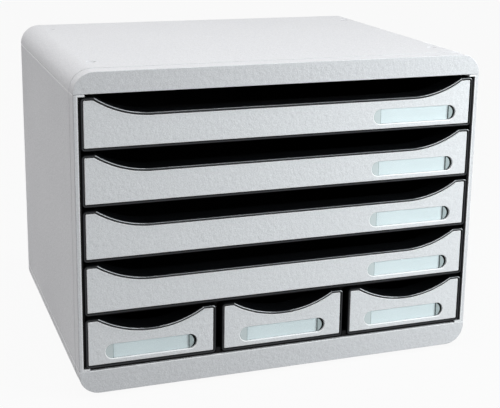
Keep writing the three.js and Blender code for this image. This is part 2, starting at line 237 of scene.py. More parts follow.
def tidy_points(piece, nearer_than=same_place):
    """Makes one point of points in the same place."""
    number_by_place(piece)
    choose(piece, "VERT", lambda vert: True)
    bpy.ops.mesh.remove_doubles(threshold=nearer_than)
    number_by_place(piece)


def bar(name, low, high):
    """A straight bar between two corners."""
    low, high = Vector(low), Vector(high)
    select_only()
    bpy.ops.mesh.primitive_cube_add(size=1, location=(low + high) / 2, scale=high - low)
    piece = bpy.context.object
    piece.name = name
    bpy.ops.object.transform_apply(location=True, rotation=True, scale=True)
    tidy_points(piece)
    return piece


def rod(name, middle, radius, length, along="z", sides=round_sides):
    """A round rod, upright or lying from front to back."""
    select_only()
    bpy.ops.mesh.primitive_cylinder_add(
        vertices=sides, radius=radius, depth=length, location=middle,
        rotation=(math.pi / 2 if along == "y" else 0, 0, 0),
    )
    piece = bpy.context.object
    piece.name = name
    bpy.ops.object.transform_apply(location=True, rotation=True, scale=True)
    tidy_points(piece)
    return piece


def round_edges(piece, radius, steps, test):
    """Rounds the edges that pass the test, and says how many there were."""
    count = choose(piece, "EDGE", test)
    if count:
        bpy.ops.mesh.bevel(offset=radius, segments=steps, affect="EDGES", clamp_overlap=False)
    tidy_points(piece)
    return count


def apply_modifier(piece, kind, **settings):
    """Adds a modifier with these settings and applies it."""
    select_only(piece)
    modifier = piece.modifiers.new(kind.lower(), kind)
    for key, value in settings.items():
        setattr(modifier, key, value)
    bpy.ops.object.modifier_apply(modifier=modifier.name)


def combine(piece, other, operation):
    """Joins a piece with another shape, or carves it, and removes the other shape."""
    for shape in (piece, other):
        choose(shape, "FACE", lambda face: True)
        bpy.ops.mesh.quads_convert_to_tris()
    apply_modifier(piece, "BOOLEAN", operation=operation, solver="EXACT", object=other)
    bpy.data.objects.remove(other)
    tidy_points(piece)
    choose(piece, "FACE", lambda face: True)
    bpy.ops.mesh.dissolve_limited(angle_limit=one_plane)
    bpy.ops.object.mode_set(mode="OBJECT")


def weld(piece, *others):
    for other in others:
        combine(piece, other, "UNION")


def carve(piece, *cutters):
    for cutter in cutters:
        combine(piece, cutter, "DIFFERENCE")


def copy_to(piece, name, shift):
    """A copy with its own mesh, moved from where the first one is."""
    select_only(piece)
    bpy.ops.object.duplicate(linked=False)
    twin = bpy.context.object
    twin.name = name
    bpy.ops.transform.translate(value=shift)
    bpy.ops.object.transform_apply(location=True, rotation=False, scale=False)
    return twin


print("ready to shape bars and rods")

# %% [markdown]
# A moulded piece looks right when its flat faces shade flat and its rounded edges shade round.
# The first helper of the next cell merges double points, turns all faces outwards, shades smooth
# except where two faces meet at a sharp angle, and weights the normals by face size, so that a
# large flat face isn't pulled round by the narrow strips beside it. The second puts the piece in
# the place of its plain solid: the piece rides on the same body. Its edges may have a finish of
# their own, which goes on the faces that pass a test.

# %% Smooth shading, and the change of places
sharp_angle = math.radians(35)


def smooth(piece):
    tidy_points(piece)
    choose(piece, "FACE", lambda face: True)
    bpy.ops.mesh.normals_make_consistent(inside=False)
    bpy.ops.object.mode_set(mode="OBJECT")
    bpy.ops.object.shade_smooth_by_angle(angle=sharp_angle)
    apply_modifier(piece, "WEIGHTED_NORMAL", keep_sharp=True)


def settle(piece, node, finish, edges=()):
    """Gives a finished shape its finish and lets it stand for its plain solid."""
    piece.data.materials.clear()
    piece.data.materials.append(finish)
    for index, (edge_finish, is_edge) in enumerate(edges, start=1):
        piece.data.materials.append(edge_finish)
        for face in piece.data.polygons:
            if is_edge(face):
                face.material_index = index
    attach(piece, body_of[node])
    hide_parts(node)
    print(f"{piece.name}: {len(piece.data.polygons)} faces")


print("ready to finish and settle pieces")

# %% [markdown]
# ## Finishes
#
# A finish is a small network of nodes that ends in one shader. All the networks here read the
# object coordinates, in metres, so a noise scale of 1000 has grains of about a millimetre. The
# helper of the next cell starts such a network. Its methods add a node, wire two nodes together,
# and make what most finishes need: a noise, a change of range, a tint between two colours and a
# bump. Two more let a noise vary the colour and the roughness by a small share. A noise seldom
# leaves the range from 0.3 to 0.7, so this is the range that they spread out.

# %% A helper for finishes
noise_low = 0.3
noise_high = 0.7


class Finish:
    """A new material with its shader and the object coordinates ready."""

    def __init__(self, name):
        self.material = bpy.data.materials.new(name)
        self.material.use_nodes = True
        self.tree = self.material.node_tree
        self.shader = self.tree.nodes["Principled BSDF"]
        self.place = self.add("ShaderNodeTexCoord").outputs["Object"]

    def add(self, kind, inputs=None, **settings):
        node = self.tree.nodes.new(kind)
        for key, value in settings.items():
            setattr(node, key, value)
        for key, value in (inputs or {}).items():
            node.inputs[key].default_value = value
        return node

    def wire(self, source, node, socket):
        self.tree.links.new(source, node.inputs[socket])

    def noise(self, scale, detail=2, roughness=0.5):
        node = self.add(
            "ShaderNodeTexNoise", {"Scale": scale, "Detail": detail, "Roughness": roughness}
        )
        self.wire(self.place, node, "Vector")
        return node.outputs["Fac"]

    def spread(self, source, source_low, source_high, low, high):
        """Turns one range of a value into another."""
        node = self.add("ShaderNodeMapRange", {
            "From Min": source_low, "From Max": source_high, "To Min": low, "To Max": high,
        })
        self.wire(source, node, "Value")
        return node.outputs["Result"]

    def tint(self, source, low_colour, high_colour):
        """Turns a value into a colour between two."""
        node = self.add("ShaderNodeValToRGB")
        node.color_ramp.elements[0].position = noise_low
        node.color_ramp.elements[1].position = noise_high
        node.color_ramp.elements[0].color = (*low_colour, 1)
        node.color_ramp.elements[1].color = (*high_colour, 1)
        self.wire(source, node, "Fac")
        return node.outputs["Color"]

    def bump(self, height, distance, under=None):
        """Raises the surface by a height, on top of another bump if there is one."""
        node = self.add("ShaderNodeBump", {"Strength": 1, "Distance": distance})
        self.wire(height, node, "Height")
        if under:
            self.wire(under, node, "Normal")
        return node.outputs["Normal"]

    def vary_colour(self, noise, colour, share):
        mottle = self.tint(noise, shade(colour, 1 - share), shade(colour, 1 + share))
        self.wire(mottle, self.shader, "Base Color")

    def vary_roughness(self, noise, middle, share):
        rough = self.spread(noise, noise_low, noise_high, middle - share, middle + share)
        self.wire(rough, self.shader, "Roughness")


def shade(colour, factor):
    return tuple(channel * factor for channel in colour)


print("ready to build finishes")

# %% [markdown]
# The shell and the front plates come from spark-eroded moulds. Such a mould leaves a fine,
# even grain that breaks the light up, so the plastic looks matt from far and finely pitted from
# near. Two noises do this: a fine one for the grain and a softer one that makes the grain swell
# and fade. The same fine noise also mottles the colour by up to a tenth, because the pits hold
# a little shade, which a bump alone doesn't show from a step away.
#
# Along the rim of the opening and round the front plates the edges catch the light as a thin
# bright line. So there is a lighter, nearly plain finish for those edges: a painted highlight.

# %% Grained light grey plastic
grain_scale = 1050
grain_detail = 3
grain_roughness = 0.6
swell_scale = 260
swell_share = 1.5
cloud_scale = 14
grey_mirror = 0.4
grained = 0.22 * mm
bare = 0.01 * mm


def grained_plastic(name, colour, roughness, pit_depth):
    finish = Finish(name)
    grain = finish.noise(grain_scale, grain_detail, grain_roughness)
    swell = finish.noise(swell_scale, detail=1)
    cloud = finish.noise(cloud_scale)
    fine = finish.bump(grain, pit_depth)
    relief = finish.bump(swell, pit_depth * swell_share, under=fine)
    finish.vary_colour(grain, colour, share=0.10)
    finish.vary_roughness(cloud, roughness, share=0.04)
    finish.wire(relief, finish.shader, "Normal")
    finish.shader.inputs["Specular IOR Level"].default_value = grey_mirror
    return finish.material


shell_grey = grained_plastic("shell_grey", (0.685, 0.69, 0.71), 0.52, grained)
plate_grey = grained_plastic("plate_grey", (0.765, 0.775, 0.795), 0.50, grained)
# The two lighter finishes below paint a highlight along the thin edges of shell and plates.
shell_edge_highlight = grained_plastic("shell_edge_highlight", (0.88, 0.885, 0.90), 0.42, bare)
plate_rim_highlight = grained_plastic("plate_rim_highlight", (0.93, 0.935, 0.945), 0.40, bare)
print("finishes:", shell_grey.name, plate_grey.name, shell_edge_highlight.name, plate_rim_highlight.name)

# %% [markdown]
# The trays are black. Only the crest of the bead round each front is polished and shows thin
# highlights. So there are two blacks: a dull one, which mirrors almost nothing, and a glossy
# one for the crest, where a very shallow waviness keeps the highlights from being as straight
# as on glass. Along the scoop's upper edge a light grey line is painted as a highlight, fainter
# along the straight floor than on the curves. The liners inside the shell are duller, and the
# feet are rubber, which is duller still and a little grey with dust.

# %% Black plastic, liner plastic and rubber
wave_scale = 60
fine_scale = 900
rubber_scale = 1200
fine_share = 1 / 6


def smooth_plastic(name, colour, roughness, wave_depth, mirror, speck_scale=fine_scale):
    finish = Finish(name)
    wave = finish.noise(wave_scale, detail=1)
    speck = finish.noise(speck_scale)
    waviness = finish.bump(wave, wave_depth)
    relief = finish.bump(speck, wave_depth * fine_share, under=waviness)
    finish.vary_colour(speck, colour, share=0.15)
    finish.vary_roughness(speck, roughness, share=0.05)
    finish.wire(relief, finish.shader, "Normal")
    finish.shader.inputs["Specular IOR Level"].default_value = mirror
    return finish.material


dull_wave = 0.03 * mm
glossy_wave = 0.01 * mm
rubber_wave = 0.05 * mm
tray_black = smooth_plastic("tray_black", (0.0045, 0.005, 0.006), 0.40, dull_wave, mirror=0.1)
tray_bead = smooth_plastic("tray_bead", (0.012, 0.014, 0.018), 0.20, glossy_wave, mirror=0.4)
# Two lighter finishes paint the highlight along the scoop's upper edge, fainter on the straight
# floor.
scoop_edge_highlight = smooth_plastic("scoop_edge_highlight", (0.50, 0.52, 0.54), 0.25, glossy_wave, mirror=0.5)
scoop_floor_highlight = smooth_plastic("scoop_floor_highlight", (0.15, 0.16, 0.17), 0.25, glossy_wave, mirror=0.5)
liner_black = smooth_plastic("liner_black", (0.004, 0.004, 0.0045), 0.50, dull_wave, mirror=0.1)
foot_rubber = smooth_plastic("foot_rubber", (0.028, 0.028, 0.030), 0.75, rubber_wave, mirror=0.3,
                             speck_scale=rubber_scale)
for material in (tray_black, tray_bead, scoop_edge_highlight, scoop_floor_highlight, liner_black, foot_rubber):
    print("finish:", material.name)

# %% [markdown]
# The label card is smooth pale card with a hint of fibre. The label window is clear plastic.
# Real glass shaders bend light and need many samples, and the window is hardly a millimetre
# thick, so an alpha does the same here: the middle lets the card show through, and the two
# half-round ends, where the plastic is solid and frosted, are nearly opaque. The ends are
# painted lit and shaded: the left end paler, because it faces the lamp through the clear
# plastic, and the right end darker. A fine dark line, a painted shadow, marks where the solid
# ends begin. All this is measured from the window's own middle, so each window gets its finish
# from one function that takes that middle.

# %% Card and window finishes
fibre_scale = 700
fibre_detail = 4
fibre_roughness = 0.7
paper_depth = 0.01 * mm
card_roughness = 0.7


def card_finish(name, colour):
    finish = Finish(name)
    fibre = finish.noise(fibre_scale, fibre_detail, fibre_roughness)
    finish.vary_colour(fibre, colour, share=0.015)
    finish.wire(finish.bump(fibre, paper_depth), finish.shader, "Normal")
    finish.shader.inputs["Roughness"].default_value = card_roughness
    return finish.material


frost_scale = 1500
frost_depth = 0.01 * mm
frost_fade = 0.3 * mm
# A painted shadow line, and painted light and shade on the two frosted ends.
shadow_line_half = 0.2 * mm
shadow_line_colour = (0.32, 0.40, 0.41, 1)
lit_end_colour = (0.73, 0.81, 0.82)
shaded_end_colour = (0.47, 0.55, 0.56)
clear_alpha, frosted_alpha = 0.05, 0.85
clear_roughness, frosted_roughness = 0.08, 0.45


def window_finish(name, middle_x, clear_half):
    finish = Finish(name)
    apart = finish.add("ShaderNodeSeparateXYZ")
    finish.wire(finish.place, apart, "Vector")
    offset = finish.add("ShaderNodeMath", {1: middle_x}, operation="SUBTRACT")
    finish.wire(apart.outputs["X"], offset, 0)
    distance = finish.add("ShaderNodeMath", operation="ABSOLUTE")
    finish.wire(offset.outputs["Value"], distance, 0)
    end = finish.spread(distance.outputs["Value"], clear_half - frost_fade, clear_half, 0, 1)
    # A painted shadow line where each solid end begins.
    line = finish.add("ShaderNodeMath", {1: clear_half, 2: shadow_line_half}, operation="COMPARE")
    finish.wire(distance.outputs["Value"], line, 0)
    side = finish.spread(offset.outputs["Value"], -clear_half, clear_half, 0, 1)
    colour = finish.add("ShaderNodeMix", {"B": shadow_line_colour}, data_type="RGBA")
    finish.wire(line.outputs["Value"], colour, "Factor")
    finish.wire(finish.tint(side, lit_end_colour, shaded_end_colour), colour, "A")
    finish.wire(colour.outputs["Result"], finish.shader, "Base Color")
    alpha = finish.spread(end, 0, 1, clear_alpha, frosted_alpha)
    finish.wire(alpha, finish.shader, "Alpha")
    roughness = finish.spread(end, 0, 1, clear_roughness, frosted_roughness)
    finish.wire(roughness, finish.shader, "Roughness")
    frost = finish.noise(frost_scale)
    finish.wire(finish.bump(frost, frost_depth), finish.shader, "Normal")
    return finish.material


card_cyan = card_finish("card_cyan", (0.83, 0.93, 0.955))
print("finishes:", card_cyan.name)

# %% [markdown]
# ## The lid and the pan
#
# The shell's top and bottom are two covers of one form: rounded along the sides, flat across,
# with a square front. The front 15 mm are a hair lower than the rest, and the step shows as a
# fine line round the shell. Each cover is two bars with two rounded edges, one for the front
# band and one for the rest, welded and then hollowed with a third. All outer edges get a small
# radius, which catches the light along the lip, and a lighter finish paints a highlight on the
# lid's lower front edge and the pan's upper edge. The radius is least on the lid's lower edge,
# which looks down and would only widen the dark seam. The lid also has four shallow sockets for
# the feet of a second unit.

# %% The form of a cover
corner_radius = 17.7 * mm
cover_wall = 2.6 * mm
band_depth = 15 * mm
band_step = 0.3 * mm
edge_radius = 0.5 * mm
rim_radius = {1: 0.2 * mm, -1: 0.5 * mm}
corner_steps = 16


def cover_bar(name, low, high, face_z, radius):
    """A bar whose two long edges at the face are rounded."""
    piece = bar(name, low, high)
    round_edges(piece, radius, corner_steps,
                lambda edge: runs_along(edge, "y") and lies_at(edge, "z", face_z))
    return piece


def cover(name, low, high, up):
    """A lid if up is 1, a pan if it is -1, before its details."""
    face_z = high.z if up > 0 else low.z
    open_z = low.z if up > 0 else high.z
    band_y = front_y + band_depth
    levels = sorted((open_z, face_z))
    band_levels = sorted((open_z, face_z - up * band_step))
    inset = cover_wall + band_step
    hollow_levels = sorted((open_z - up * overrun, face_z - up * inset))

    def is_rim(edge):
        return is_ridge(edge) and lies_at(edge, "z", open_z) and runs_along(edge, "y")

    main = cover_bar(name, (low.x, band_y, levels[0]), (high.x, back_y, levels[1]),
                     face_z, corner_radius)
    round_edges(main, edge_radius, edge_steps,
                lambda edge: is_ridge(edge) and lies_at(edge, "y", back_y))
    round_edges(main, rim_radius[up], edge_steps, is_rim)
    band = cover_bar("band", (low.x + band_step, front_y, band_levels[0]),
                     (high.x - band_step, band_y + overrun, band_levels[1]),
                     face_z - up * band_step, corner_radius - band_step)
    round_edges(band, edge_radius, edge_steps,
                lambda edge: is_ridge(edge) and lies_at(edge, "y", front_y))
    round_edges(band, rim_radius[up], edge_steps, is_rim)
    weld(main, band)
    hollow = cover_bar("hollow", (low.x + inset, front_y + cover_wall, hollow_levels[0]),
                       (high.x - inset, back_y - cover_wall, hollow_levels[1]),
                       face_z - up * inset, corner_radius - inset)
    carve(main, hollow)
    return main


lid = cover("lid", lid_low, lid_high, 1)
pan = cover("pan", pan_low, pan_high, -1)
print(f"lid {len(lid.data.polygons)} faces, pan {len(pan.data.polygons)} faces")

# %% [markdown]
# A socket is a shallow round dish, cut with a rod just wider than a foot's tip. The rod's lower
# edge is rounded first, so the dish has curved walls: the one that faces the lamp is bright and
# the opposite one is dark, and by these two the eye finds the dish. Its rim is rounded too.

# %% Sockets in the lid
socket_radius = 4.0 * mm
socket_depth = 1.2 * mm
socket_edge = 0.35 * mm
socket_margin = 0.2 * mm


def is_socket_rim(edge):
    middle = (edge.verts[0].co + edge.verts[1].co) / 2
    reach = socket_radius + socket_margin
    near = any((middle.xy - place.xy).length < reach for place in foot_places)
    return near and lies_at(edge, "z", lid_high.z) and is_ridge(edge)


for place in foot_places:
    socket = rod("socket", (place.x, place.y, lid_high.z), socket_radius, 2 * socket_depth)
    round_edges(socket, socket_depth, curve_steps,
                lambda edge: is_ridge(edge) and lies_at(edge, "z", lid_high.z - socket_depth))
    carve(lid, socket)
print("socket rim edges:", round_edges(lid, socket_edge, edge_steps, is_socket_rim))
smooth(lid)


def is_lip_highlight(face):
    return face.center.y < front_y + edge_radius and face.center.z < lid_low.z + edge_radius


# The lighter finish on the lid's lower front edge is a painted highlight.
settle(lid, "top_cover", shell_grey, [(shell_edge_highlight, is_lip_highlight)])

# %% [markdown]
# The pan is ribbed inside, as wide flat mouldings are, and has a tubular boss for each foot's
# stem. One rib is modelled and copied across with equal steps.

# %% Ribs and bosses in the pan
rib_count = 5
rib_wall = 2 * mm
boss_radius = 4.7 * mm
bore_radius = 2.7 * mm
bore_length = 20 * mm
small_sides = 40
stem_top_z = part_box("foot_front_left")[1].z
rib_pitch = 2 * (half_width - corner_radius) / (rib_count + 1)
rib_top_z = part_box("base_shelf")[0].z - seam
floor_z = pan_low.z + cover_wall

first_x = -(rib_count - 1) / 2 * rib_pitch
rib = bar("rib", (first_x - rib_wall / 2, front_y + cover_wall / 2, floor_z - cover_wall / 2),
          (first_x + rib_wall / 2, inner_back_y, rib_top_z))
ribs = [rib] + [copy_to(rib, "rib", (i * rib_pitch, 0, 0)) for i in range(1, rib_count)]
weld(pan, *ribs)

boss_low_z = floor_z - cover_wall / 2
boss_height = stem_top_z - boss_low_z
for place in foot_places:
    middle = (place.x, place.y, (boss_low_z + stem_top_z) / 2)
    weld(pan, rod("boss", middle, boss_radius, boss_height, sides=small_sides))
    carve(pan, rod("bore", middle, bore_radius, bore_length, sides=small_sides))
smooth(pan)


def is_pan_highlight(face):
    outside = face.center.y < front_y + edge_radius or abs(face.center.x) > half_width - edge_radius
    return outside and pan_high.z - edge_radius < face.center.z < pan_high.z - grid


# The lighter finish along the pan's upper edge is a painted highlight.
settle(pan, "bottom_cover", shell_grey, [(shell_edge_highlight, is_pan_highlight)])

# %% [markdown]
# ## The side and back walls
#
# A side wall is a flat plate between the two covers. Its upper and lower edges fold in as
# flanges, whose ends show as small light tabs in the corners of the opening. A thin tongue
# stands out from each flange behind the cover's edge and holds the wall in place.
#
# All of this grows out of one bar. The bisect tool scores it across where something begins or
# ends, and the faces between two scores are then extruded. The front band is scored as well,
# and its outer points move in by the height of the step. The left wall is modelled and mirrored
# for the right one. A mirrored mesh is inside out, so its normals are turned back by the
# smoothing helper, which comes last.

# %% Side walls
wall_depth = 4 * mm
flange_reach = 9.5 * mm
flange_wall = 1.6 * mm
tongue_wall = 1.8 * mm
tongue_height = 7 * mm
tongue_gap = 4.4 * mm
tongue_clearance = 0.6 * mm
highlight_strip = 0.9 * mm
wall_edge = 0.8 * mm
wall_steps = 4

wall_low_z = pan_high.z + seam
wall_high_z = lid_low.z - seam
outer_x = -half_width
inner_x = outer_x + wall_depth
band_y = front_y + band_depth
corner_inner = corner_radius - cover_wall - band_step
tongue_x = (-half_width + corner_radius - math.sqrt(corner_inner**2 - tongue_height**2)
            + tongue_clearance)
tongue_xs = (tongue_x, tongue_x + tongue_wall)
tongue_ys = (front_y + cover_wall + tongue_gap, inner_back_y - tongue_gap / 2)


def score(piece, axis, *places):
    """Cuts new edges all round a piece, square to an axis."""
    direction = Vector((0, 0, 0))
    direction[AXES[axis]] = 1
    for place in places:
        choose(piece, "FACE", lambda face: True)
        bpy.ops.mesh.bisect(plane_co=direction * place, plane_no=direction)
    tidy_points(piece)


def extrude_faces(piece, test, move):
    count = choose(piece, "FACE", test)
    bpy.ops.mesh.extrude_region_move(TRANSFORM_OT_translate={"value": move})
    tidy_points(piece)
    return count


left_wall = bar("left_wall", (outer_x, front_y, wall_low_z), (inner_x, back_y, wall_high_z))
score(left_wall, "x", inner_x - highlight_strip)
score(left_wall, "y", band_y, band_y + band_step, *tongue_ys, inner_back_y)
score(left_wall, "z", wall_low_z + flange_wall, wall_high_z - flange_wall)
choose(left_wall, "VERT", lambda vert: vert.co.y < band_y + close_enough
       and vert.co.x < outer_x + close_enough)
bpy.ops.transform.translate(value=(band_step, 0, 0))
extrude_faces(left_wall, lambda face: lies_at(face, "x", inner_x)
              and lies_within(face, "y", front_y, inner_back_y)
              and not lies_within(face, "z", wall_low_z + flange_wall, wall_high_z - flange_wall),
              (flange_reach - wall_depth, 0, 0))
score(left_wall, "x", *tongue_xs)
for edge_z, outward in ((wall_low_z, -1), (wall_high_z, 1)):
    extrude_faces(left_wall, lambda face: lies_at(face, "z", edge_z)
                  and lies_within(face, "x", *tongue_xs) and lies_within(face, "y", *tongue_ys),
                  (0, 0, outward * tongue_height))
round_edges(left_wall, wall_edge, wall_steps, lambda edge: is_ridge(edge)
            and lies_within(edge, "x", outer_x, outer_x + band_step))
round_edges(left_wall, edge_radius / 2, fine_steps, lambda edge: lies_at(edge, "y", front_y)
            and lies_at(edge, "x", outer_x + flange_reach))

right_wall = copy_to(left_wall, "right_wall", (0, 0, 0))
bpy.ops.transform.mirror(constraint_axis=(True, False, False), center_override=(0, 0, 0))
bpy.ops.object.transform_apply(location=True, rotation=True, scale=True)


def is_wall_highlight(face):
    """True where a highlight is painted: along the opening, and on the rounded edge below the lid's
    seam.
    """
    inner = abs(face.center.x) < half_width - wall_depth + highlight_strip
    below_seam = wall_high_z - wall_edge < face.center.z < wall_high_z - grid
    outer = abs(face.center.x) > half_width - band_step - wall_edge
    return (face.center.y < front_y + close_enough and inner) or (below_seam and outer)


for wall, node in ((left_wall, "left_side_panel"), (right_wall, "right_side_panel")):
    smooth(wall)
    # The lighter finish on the wall's front edges and below the seam is a painted highlight.
    settle(wall, node, shell_grey, [(shell_edge_highlight, is_wall_highlight)])

# %% [markdown]
# The back wall drops into the covers from behind. It is a plain plate, seen only from the back,
# so soft edges are all it needs.

# %% Back wall
back_edge = 0.4 * mm

back_wall = bar("back_wall", *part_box("back_panel"))
round_edges(back_wall, back_edge, fine_steps, is_ridge)
smooth(back_wall)
settle(back_wall, "back_panel", shell_grey)

# %% [markdown]
# ## The rubber feet
#
# A foot is turned work in one piece: a tip that the unit stands on, a wider collar against the
# pan, and a stem that is pressed into the boss. It starts as a rod for the collar. Its lower
# face is inset and extruded down for the tip, its upper face is inset and extruded up for the
# stem, and all its edges are rounded. One foot is modelled, and three are copies.

# %% Feet
tip_radius = 3.7 * mm
tip_height = 1.2 * mm
collar_radius = 7 * mm
stem_radius = 2.4 * mm
foot_edge = 0.3 * mm
collar_top_z = pan_low.z

first = foot_places[0]
foot = rod("rubber_foot_1", (first.x, first.y, (tip_height + collar_top_z) / 2),
           collar_radius, collar_top_z - tip_height, sides=small_sides)
for level, inset, rise in ((tip_height, collar_radius - tip_radius, -tip_height),
                           (collar_top_z, collar_radius - stem_radius, stem_top_z - collar_top_z)):
    choose(foot, "FACE", lambda face: lies_at(face, "z", level))
    bpy.ops.mesh.inset(thickness=inset)
    bpy.ops.mesh.extrude_region_move(TRANSFORM_OT_translate={"value": (0, 0, rise)})
round_edges(foot, foot_edge, edge_steps, is_ridge)
feet = [foot]
for i, place in enumerate(foot_places[1:], start=2):
    feet.append(copy_to(foot, f"rubber_foot_{i}", (place.x - first.x, place.y - first.y, 0)))
for piece, node in zip(feet, foot_nodes):
    smooth(piece)
    settle(piece, node, foot_rubber)

# %% [markdown]
# ## The drawer fronts
#
# Each drawer has a black front wall with a finger scoop in its upper edge, and a grey plate
# that lies in a pocket of that wall. Wall and plate have one outline, the plate's a little
# smaller all round. So one block is modelled for both: a bar with rounded corners, carved by
# rods for the scoop's two curves and by a bar for the straight stretch between them. On a small
# drawer one rod makes the whole scoop.
#
# The radius of the curve follows from how far it runs and how deep it goes: a circle that drops
# by d over a run of r has the radius (r * r + d * d) / 2d. Where a curve is cut off at the
# shoulder, a very short edge can be left. It would fold over when the face is inset, so it is
# merged away.

# %% A front block with its scoop
front_corner = 3 * mm
front_steps = 8
scoop_sides = 320
front_wall = 5 * mm
shoulder = 11 * mm
wide_scoop_run = 46 * mm
wide_front_low = 28.5 * mm
small_front_low = 29.7 * mm
shortest_edge = 0.3 * mm


def front_block(name, low, high, run, least_height):
    """The block of a drawer front, with its corners rounded and its scoop carved."""
    block = bar(name, low, (high.x, low.y + front_wall, high.z))
    round_edges(block, front_corner, front_steps, lambda edge: runs_along(edge, "y"))
    middle_x = (low.x + high.x) / 2
    middle_y = low.y + front_wall / 2
    scoop_z = low.z + least_height
    drop = high.z - scoop_z
    radius = (run**2 + drop**2) / (2 * drop)
    flat_half = (high.x - low.x) / 2 - shoulder - run
    offsets = (-flat_half, flat_half) if flat_half > close_enough else (0,)
    for offset in offsets:
        carve(block, rod("scoop_end", (middle_x + offset, middle_y, scoop_z + radius),
                         radius, 2 * front_wall, along="y", sides=scoop_sides))
    if len(offsets) > 1:
        carve(block, bar("scoop_middle",
                         (middle_x - flat_half, low.y - overrun, scoop_z),
                         (middle_x + flat_half, low.y + front_wall + overrun, high.z + overrun)))
    tidy_points(block, nearer_than=shortest_edge)
    return block


wide_low, wide_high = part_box("wide_drawer_1_tray")
small_low, small_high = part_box("small_drawer_middle_tray")
small_run = (small_high.x - small_low.x) / 2 - shoulder
wide_block = front_block("wide_block", wide_low, wide_high, wide_scoop_run, wide_front_low)
small_block = front_block("small_block", small_low, small_high, small_run, small_front_low)
print(f"wide front {wide_high.z - wide_low.z:.5f} high, small {small_high.z - small_low.z:.5f}")

# %% [markdown]
# The pocket for the plate is cut as by hand: select the front face, inset it by the width of
# the rim, and extrude it inwards. The rim that is left is then rounded on both of its edges and
# becomes the bead that frames each drawer.
#
# Behind the scoop the edge goes on as a thin curved ledge, which the light just reaches. The
# back face is inset by the ledge's thickness, which leaves a ring of narrow faces round it, and
# those faces of the ring that follow the scoop are extruded backwards.

# %% Front wall with pocket, bead and ledge
rim_width = 2 * mm
pocket_depth = 2.5 * mm
bead_radius = 0.9 * mm
ledge_reach = 20 * mm
tray_wall = 1.8 * mm


def looks_forward(face):
    return face.normal.y < -straight_share and lies_at(face, "y", front_y)


def looks_back(face):
    return face.normal.y > straight_share and lies_at(face, "y", front_y + front_wall)


def framed_wall(block, name):
    """The black front wall: pocket in front, bead round it, ledge behind the scoop."""
    wall = copy_to(block, name, (0, 0, 0))
    low_z = min(vert.co.z for vert in wall.data.vertices)
    scoop_half = max(vert.co.x for vert in wall.data.vertices) - shoulder
    choose(wall, "FACE", looks_back)
    bpy.ops.mesh.inset(thickness=tray_wall, use_even_offset=True)
    count = extrude_faces(
        wall, lambda face: looks_back(face)
        and lies_within(face, "x", -scoop_half - tray_wall, scoop_half + tray_wall)
        and lies_within(face, "z", low_z + front_wall, math.inf),
        (0, ledge_reach - front_wall, 0))
    choose(wall, "FACE", looks_forward)
    bpy.ops.mesh.inset(thickness=rim_width, use_even_offset=True)
    bpy.ops.mesh.extrude_region_move(TRANSFORM_OT_translate={"value": (0, pocket_depth, 0)})
    round_edges(wall, bead_radius, curve_steps,
                lambda edge: lies_at(edge, "y", front_y) and is_ridge(edge))
    print(f"{name}: ledge of {count} faces")
    return wall


crest_depth = bead_radius / 12
crest_slope = 0.3
curve_slope = 0.06


def is_crest(face):
    return face.center.y < front_y + crest_depth


def upper_edge_test(scoop_x, scoop_z, curved):
    """A test for the bead's upper edge from the scoop's left end on, curved or straight."""
    return lambda face: (
        face.center.y < front_y + bead_radius / 2 and face.normal.z > crest_slope
        and face.center.x > scoop_x and face.center.z > scoop_z - bead_radius
        and curved == (abs(face.normal.x) > curve_slope)
    )


wide_wall = framed_wall(wide_block, "wide_wall")
small_wall = framed_wall(small_block, "small_wall")
print(f"wide wall {len(wide_wall.data.polygons)} faces, small {len(small_wall.data.polygons)}")

# %% [markdown]
# ## The trays
#
# Behind the front wall a tray is an open box. It is a bar, carved by a second bar whose lower
# and rear edges are rounded, so that the floor runs up into the walls as in any moulded tray.
# The carving bar goes out through the front, because the front wall closes the box there. The
# front wall reaches a hair lower than the box.

# %% The box of a tray
floor_radius = 3 * mm
outer_radius = 1.2 * mm
lip_radius = 0.4 * mm
front_drop = 0.1 * mm


def tray_box(name, middle_x, half, front_foot_z, top_z):
    root_y = front_y + (pocket_depth + front_wall) / 2
    foot_z = front_foot_z + front_drop
    box = bar(name, (middle_x - half, root_y, foot_z), (middle_x + half, inner_back_y, top_z))
    round_edges(box, outer_radius, edge_steps, lambda edge: lies_at(edge, "y", inner_back_y)
                and (runs_along(edge, "z") or lies_at(edge, "z", foot_z)))
    inside = bar("inside", (middle_x - half + tray_wall, root_y - overrun, foot_z + tray_wall),
                 (middle_x + half - tray_wall, inner_back_y - tray_wall, top_z + overrun))
    round_edges(inside, floor_radius, curve_steps, lambda edge: (
        lies_at(edge, "z", foot_z + tray_wall) and not lies_at(edge, "y", root_y - overrun))
        or (lies_at(edge, "y", inner_back_y - tray_wall) and runs_along(edge, "z")))
    carve(box, inside)
    return box


runner_clearance = 0.6 * mm
rib_reach = 4.9 * mm
wide_drop = 2.5 * mm
wide_half = wide_high.x
rack_face_x = wide_half + seam
flange_x = rack_face_x - runner_clearance
wide_tray_half = rack_face_x - rib_reach - runner_clearance
wide_tray_top = wide_high.z - wide_drop
wide_box = tray_box("wide_box", 0, wide_tray_half, wide_low.z, wide_tray_top)
print(f"wide box half {wide_tray_half:.5f}, top {wide_tray_top:.5f}")

# %% [markdown]
# A wide tray hangs between the ribs of the side liners by a flange along each side, and a lug
# below the flange meets a stop in the liner when the drawer is pulled out. Both are small bars
# welded on. Afterwards the upper edges of walls and flanges are rounded together. The wide tray
# is modelled once, at the top place, and its copies go down by equal steps.

# %% Wide trays
flange_depth = 2 * mm
rib_depth = 2 * mm
lug_height = 4.4 * mm
runner_front_y = front_y + front_wall + runner_clearance
travel = 190 * mm
stop_length = 5 * mm
stop_setback = 17 * mm
lug_low_y = front_y + stop_setback + stop_length + travel + seam
lug_high_z = wide_tray_top - flange_depth - seam - rib_depth - seam
lug_low_z = lug_high_z - lug_height

